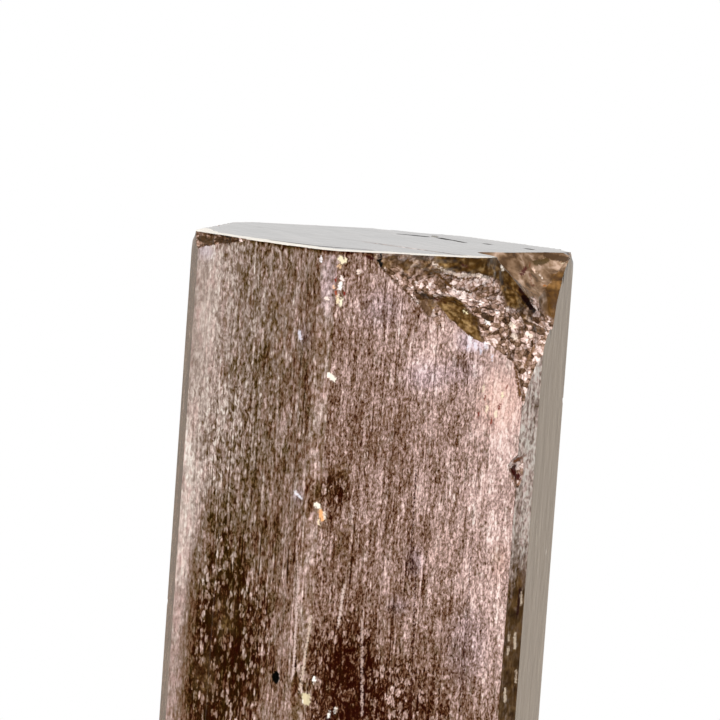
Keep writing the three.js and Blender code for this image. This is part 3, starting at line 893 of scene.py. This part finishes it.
def apatiteMaterial():
    # a glassy brown stone, clouded by fine pale tubes that all run up it, which reads as satin wood
    # grain from afar; its breaks glitter in grains, a glitter painted into their colour as highlights,
    # and two polished faces hold a soft grey mirror
    material = bpy.data.materials.new("streakedTranslucentApatite")
    material.use_nodes = True
    tree = material.node_tree
    tree.nodes.clear()
    coords = add(tree, "TexCoord", out="Object")
    place = add(tree, "Mapping", {"Vector": coords, "Scale": (1 / mm, 1 / mm, 1 / mm)})
    masks = {}
    for name in ("finish", "tone", "stain"):
        whole = add(tree, "Attribute", out="Color", attribute_name=name)
        masks[name] = [add(tree, "SeparateColor", {0: whole}, out=i) for i in range(3)]
        masks[name].append(add(tree, "Attribute", out="Alpha", attribute_name=name))
    smoothSide, endFace, grainy, clear = masks["finish"]
    level, lilac, peach, dullness = masks["tone"]
    flecks, rimFrostAndHighlight, olive, rust = masks["stain"]
    markOrGlintColour = add(tree, "Attribute", out="Color", attribute_name="markOrGlint")
    markOrGlintAlpha = add(tree, "Attribute", out="Alpha", attribute_name="markOrGlint")
    calm = add(tree, "Attribute", out="Fac", attribute_name="calm")

    # fine tubes and streaks along the growth axis, wandering a little from side to side
    swing = add(tree, "TexNoise", {"Vector": place, "Scale": 1 / stone["swingSize"], "Detail": 1},
                out="Color")
    swing = add(tree, "VectorMath", {0: swing, 1: (0.5, 0.5, 0.5)}, operation="SUBTRACT")
    bent = add(tree, "VectorMath", {0: swing, 1: (stone["wander"],) * 3, 2: place},
               operation="MULTIPLY_ADD")
    bentStreak = add(tree, "Mapping", {"Vector": bent, "Scale": repeats("streakSize")})
    grain = add(tree, "TexNoise", {"Vector": bentStreak, "Scale": 1, "Detail": 2.6,
                                   "Roughness": 0.65, "Distortion": 0.4})
    straight = add(tree, "Mapping", {"Vector": place, "Scale": repeats("lineSize"),
                                     "Location": (3, 1, 7)})
    line = add(tree, "TexNoise", {"Vector": straight, "Scale": 1, "Detail": 2, "Roughness": 0.5})
    wide = add(tree, "Mapping", {"Vector": place, "Scale": repeats("cloudSize")})
    cloud = add(tree, "TexNoise", {"Vector": wide, "Scale": 1, "Detail": 2})

    # short worm-like tubes, with rounded ends
    wormPlace = add(tree, "Mapping", {"Vector": bent, "Scale": repeats("wormSize")})
    wormReach = add(tree, "TexVoronoi", {"Vector": wormPlace, "Scale": 1}, out="Distance")
    worm = add(tree, "MapRange", {"Value": wormReach, "From Min": 0.15, "From Max": 0.6,
                                  "To Min": 1, "To Max": 0}, interpolation_type="SMOOTHSTEP")
    # broad bands and patches, about a mm across
    patchPlace = add(tree, "Mapping", {"Vector": place, "Scale": repeats("patchSize"),
                                       "Location": (9, 2, 4)})
    patch = add(tree, "TexNoise", {"Vector": patchPlace, "Scale": 1, "Detail": 3,
                                   "Roughness": 0.65, "Distortion": 0.3})
    # the same streaks again, coarser, for the duller sides
    coarsePlace = add(tree, "VectorMath", {0: bentStreak, 1: stone["coarser"]}, operation="MULTIPLY")
    coarse = add(tree, "TexNoise", {"Vector": coarsePlace, "Scale": 1, "Detail": 2.2,
                                    "Roughness": 0.6, "Distortion": 0.5})
    grain = add(tree, "Mix", {0: dullness, 2: grain, 3: coarse}, data_type="FLOAT")

    # long dark hairlines, and long pale threads
    ripple = 0
    for size, shift, start, end, low, high in (
            ("hairSize", (1, 5, 2), 0.31, 0.38, stone["hairDark"], 0),
            ("threadSize", (6, 8, 1), 0.6, 0.67, 0, stone["threadPale"])):
        longPlace = add(tree, "Mapping", {"Vector": place, "Scale": repeats(size), "Location": shift})
        hair = add(tree, "TexNoise", {"Vector": longPlace, "Scale": 1, "Detail": 2, "Roughness": 0.6})
        hair = add(tree, "MapRange", {"Value": hair, "From Min": start, "From Max": end,
                                      "To Min": low, "To Max": high})
        ripple = add(tree, "Math", {0: hair, 1: ripple}, operation="ADD")

    # all of them ripple the tone of the side, less so where it is calm
    for source, middle, gain in ((grain, 0.5, stone["grainContrast"]), (worm, 0.27, stone["wormContrast"]),
                                 (line, 0.5, stone["lineContrast"]), (patch, 0.5, stone["patchContrast"])):
        centred = add(tree, "Math", {0: source, 1: middle}, operation="SUBTRACT")
        ripple = add(tree, "Math", {0: centred, 1: gain, 2: ripple}, operation="MULTIPLY_ADD")
    busy = add(tree, "Math", {0: calm, 1: -stone["calming"], 2: 1}, operation="MULTIPLY_ADD")
    clouding = add(tree, "Math", {0: cloud, 1: 0.5}, operation="SUBTRACT")
    sideLevel = add(tree, "Math", {0: clouding, 1: stone["cloudContrast"], 2: level},
                    operation="MULTIPLY_ADD")
    sideLevel = add(tree, "Math", {0: ripple, 1: busy, 2: sideLevel}, operation="MULTIPLY_ADD")
    # pale oval flecks in the dark zones
    fleckPlace = add(tree, "Mapping", {"Vector": bent, "Scale": repeats("fleckSize")})
    fleckReach = add(tree, "TexVoronoi", {"Vector": fleckPlace, "Scale": 1}, out="Distance")
    cluster = add(tree, "TexNoise", {"Vector": bent, "Scale": 1 / stone["clusterSize"],
                                     "Detail": 3, "Roughness": 0.65})
    for source, pull in ((cluster, -0.9), (grain, -0.7)):
        fleckReach = add(tree, "Math", {0: source, 1: pull, 2: fleckReach}, operation="MULTIPLY_ADD")
    ground, pale = stone["fleckPale"]
    fleck = add(tree, "MapRange", {"Value": fleckReach, "From Min": -0.54, "From Max": -0.34,
                                   "To Min": pale, "To Max": ground}, interpolation_type="SMOOTHSTEP")
    sideLevel = add(tree, "Math", {0: fleck, 1: flecks, 2: sideLevel}, operation="MULTIPLY_ADD")
    # painted shade: a thin dark band on the sides just under the end edge
    upZ = add(tree, "SeparateXYZ", {0: place}, out="Z")
    low, high = [cadBox[1][2] / mm - depth for depth in stone["edgeShadeDepth"]]
    edgeShade = add(tree, "MapRange", {"Value": upZ, "From Min": low, "From Max": high,
                                  "To Min": 0, "To Max": stone["edgeShadeDark"]})
    sideLevel = add(tree, "Math", {0: sideLevel, 1: edgeShade}, operation="ADD")

    pink = add(tree, "ValToRGB", {0: sideLevel}, stops=pinkRamp)
    beige = add(tree, "ValToRGB", {0: sideLevel}, stops=beigeRamp)
    # each zone wanders between the two
    hue = add(tree, "TexNoise", {"Vector": wide, "Scale": stone["hueScale"], "Detail": 3,
                                 "Roughness": 0.65})
    hue = add(tree, "Math", {0: hue, 1: stone["hueContrast"], 2: dullness}, operation="MULTIPLY_ADD")
    dull = add(tree, "Math", {0: hue, 1: stone["hueMiddle"]}, operation="SUBTRACT", use_clamp=True)

    # the polished sides are almost all mirror light, over a dark and softly streaked ground
    faint = add(tree, "Mapping", {"Vector": place, "Scale": repeats("faintSize")})
    faint = add(tree, "TexNoise", {"Vector": faint, "Scale": 1, "Detail": 4, "Roughness": 0.6})
    mottle = 0
    for source, gain in zip((faint, cloud, grain), stone["sideMottle"]):
        mottle = add(tree, "Math", {0: source, 1: gain, 2: mottle}, operation="MULTIPLY_ADD")
    greyGround = add(tree, "ValToRGB", {0: mottle}, stops=greyRamp)

    # the end face shows pale and dim drifts below its skin, longer from front to back
    across, along = stone["endDriftSize"]
    endPlace = add(tree, "Mapping", {"Vector": place, "Scale": (1 / across, 1 / along, 1)})
    endDrift = add(tree, "TexNoise", {"Vector": endPlace, "Scale": 1, "Detail": 4, "Roughness": 0.6})
    endGround = add(tree, "ValToRGB", {0: endDrift}, stops=endRamp)

    # its frosted rim has an uneven inner edge; its pale paint is also a painted highlight along the end
    # edge
    rimNoise = add(tree, "TexNoise", {"Vector": place, "Scale": 1 / stone["rimWander"],
                                      "Detail": 4, "Roughness": 0.6})
    rimFrostAndHighlight = add(tree, "Math", {0: rimNoise, 1: 1.1, 2: rimFrostAndHighlight}, operation="MULTIPLY_ADD")
    rimFrostAndHighlight = add(tree, "MapRange", {"Value": rimFrostAndHighlight, "From Min": 0.9, "From Max": 1.2})

    # grainy break: lumps with brown seams between them; the palest lumps are painted glitter, highlights
    # put into the colour
    push = add(tree, "TexNoise", {"Vector": place, "Scale": 1 / stone["pushSize"], "Detail": 3},
               out="Color")
    cellPlace = add(tree, "VectorMath", {0: push, 1: (stone["push"],) * 3, 2: place},
                    operation="MULTIPLY_ADD")
    cellPlace = add(tree, "Mapping", {"Vector": cellPlace, "Scale": repeats("cellSize")})
    cellColour = add(tree, "TexVoronoi", {"Vector": cellPlace, "Scale": 1}, out="Color")
    cellToneAndGlitter = add(tree, "SeparateColor", {0: cellColour}, out=0)
    cellEdge = add(tree, "TexVoronoi", {"Vector": cellPlace, "Scale": 1}, out="Distance",
                   feature="DISTANCE_TO_EDGE")
    grainLevel = add(tree, "MapRange", {"Value": cellEdge, "From Min": 0, "From Max": 0.12,
                                        "To Min": -0.28, "To Max": 0.05})
    crumbs = add(tree, "TexNoise", {"Vector": place, "Scale": 1 / stone["crumbSize"], "Detail": 3})
    for source, gain in ((cellToneAndGlitter, stone["lumpContrast"]), (crumbs, stone["crumbContrast"]), (level, 1)):
        grainLevel = add(tree, "Math", {0: source, 1: gain, 2: grainLevel}, operation="MULTIPLY_ADD")
    grainLevel = add(tree, "Math", {0: grainLevel, 1: stone["lumpMiddle"]}, operation="SUBTRACT")
    grainColourAndGlitter = add(tree, "ValToRGB", {0: grainLevel}, stops=grainAndGlitterRamp)

    # clear break: glassy brown, olive or rusty, with soft clouds in it
    drift = add(tree, "TexNoise", {"Vector": place, "Scale": 1 / stone["driftSize"],
                                   "Detail": 2.5, "Roughness": 0.6, "Distortion": 0.5})
    glassy = add(tree, "ValToRGB", {0: drift}, stops=clearRamp)
    cloudy = add(tree, "Mix", {0: stone["crumbInGlass"], 2: drift, 3: crumbs}, data_type="FLOAT")
    oliveGlass = add(tree, "ValToRGB", {0: cloudy}, stops=oliveRamp)
    rustGlass = add(tree, "ValToRGB", {0: drift}, stops=rustRamp)

    # the marks and painted glints get ragged outlines
    ragged = add(tree, "TexNoise", {"Vector": place, "Scale": 1 / stone["raggedSize"], "Detail": 2})
    ragged = add(tree, "Math", {0: ragged, 1: 0.9, 2: markOrGlintAlpha}, operation="MULTIPLY_ADD")
    markOrGlintAlpha = add(tree, "MapRange", {"Value": ragged, "From Min": 0.85, "From Max": 1.05})

    zones = [
        (dull, beige, "MIX", 1), (lilac, toLinear(stone["lilac"]), "COLOR", stone["tinge"]),
        (peach, toLinear(stone["peach"]), "COLOR", stone["tinge"]), (smoothSide, greyGround, "MIX", 1),
        (endFace, endGround, "MIX", 1), (rimFrostAndHighlight, toLinear(stone["frostAndHighlight"]), "MIX", 1),
        (grainy, grainColourAndGlitter, "MIX", 1), (clear, glassy, "MIX", 1), (olive, oliveGlass, "MIX", 1),
        (rust, rustGlass, "MIX", 1), (markOrGlintAlpha, markOrGlintColour, "MIX", 1),
    ]
    colour = pink
    for mask, over, blend, strength in zones:
        mask = add(tree, "Math", {0: mask, 1: strength}, operation="MULTIPLY")
        colour = add(tree, "Mix", {0: mask, 6: colour, 7: over}, out=2, data_type="RGBA",
                     blend_type=blend)

    # polished faces are glossier; frost, grains, clouded glass and the marks and painted dark lines in the
    # end face are duller
    roughness = stone["roughness"]
    endMarkOrDarkLine = add(tree, "Math", {0: markOrGlintAlpha, 1: endFace}, operation="MULTIPLY")
    for mask, change in ((smoothSide, -0.06), (endFace, -0.11), (rimFrostAndHighlight, 0.3), (grainy, 0.1),
                         (clear, -0.08), (olive, 0.2), (rust, 0.2), (endMarkOrDarkLine, 0.6)):
        roughness = add(tree, "Math", {0: mask, 1: change, 2: roughness}, operation="MULTIPLY_ADD")
    # thin stone beside a break would let too much light through
    clearness = stone["clearness"]
    for mask, change in ((grainy, -0.12), (clear, -0.12), (markOrGlintAlpha, -0.10)):
        clearness = add(tree, "Math", {0: mask, 1: change, 2: clearness},
                        operation="MULTIPLY_ADD", use_clamp=True)
    height = add(tree, "Math", {0: cellEdge, 1: grainy}, operation="MULTIPLY")
    height = add(tree, "Math", {0: height, 1: stone["lumpHeight"], 2: grain}, operation="MULTIPLY_ADD")
    # the polished faces only roll a little, which shows in what they mirror
    for mask, source in ((smoothSide, cloud), (endFace, endDrift)):
        roll = add(tree, "Math", {0: source, 1: stone["faceRoll"]}, operation="MULTIPLY")
        height = add(tree, "Mix", {0: mask, 2: height, 3: roll}, data_type="FLOAT")
    bump = add(tree, "Bump", {"Height": height, "Strength": 0.5, "Distance": stone["bumpDepth"] * mm})
    surface = add(tree, "BsdfPrincipled", {
        "Base Color": colour, "Roughness": roughness, "IOR": stone["ior"],
        "Transmission Weight": clearness, "Normal": bump})
    volume = add(tree, "VolumeAbsorption", {"Color": toLinear(stone["absorbColour"]),
                                            "Density": stone["absorbDensity"]})
    add(tree, "OutputMaterial", {"Surface": surface, "Volume": volume})
    return material


piece = buildCrystal()
piece.data.materials.append(apatiteMaterial())
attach(piece, "root")
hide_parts(crystal["node"])
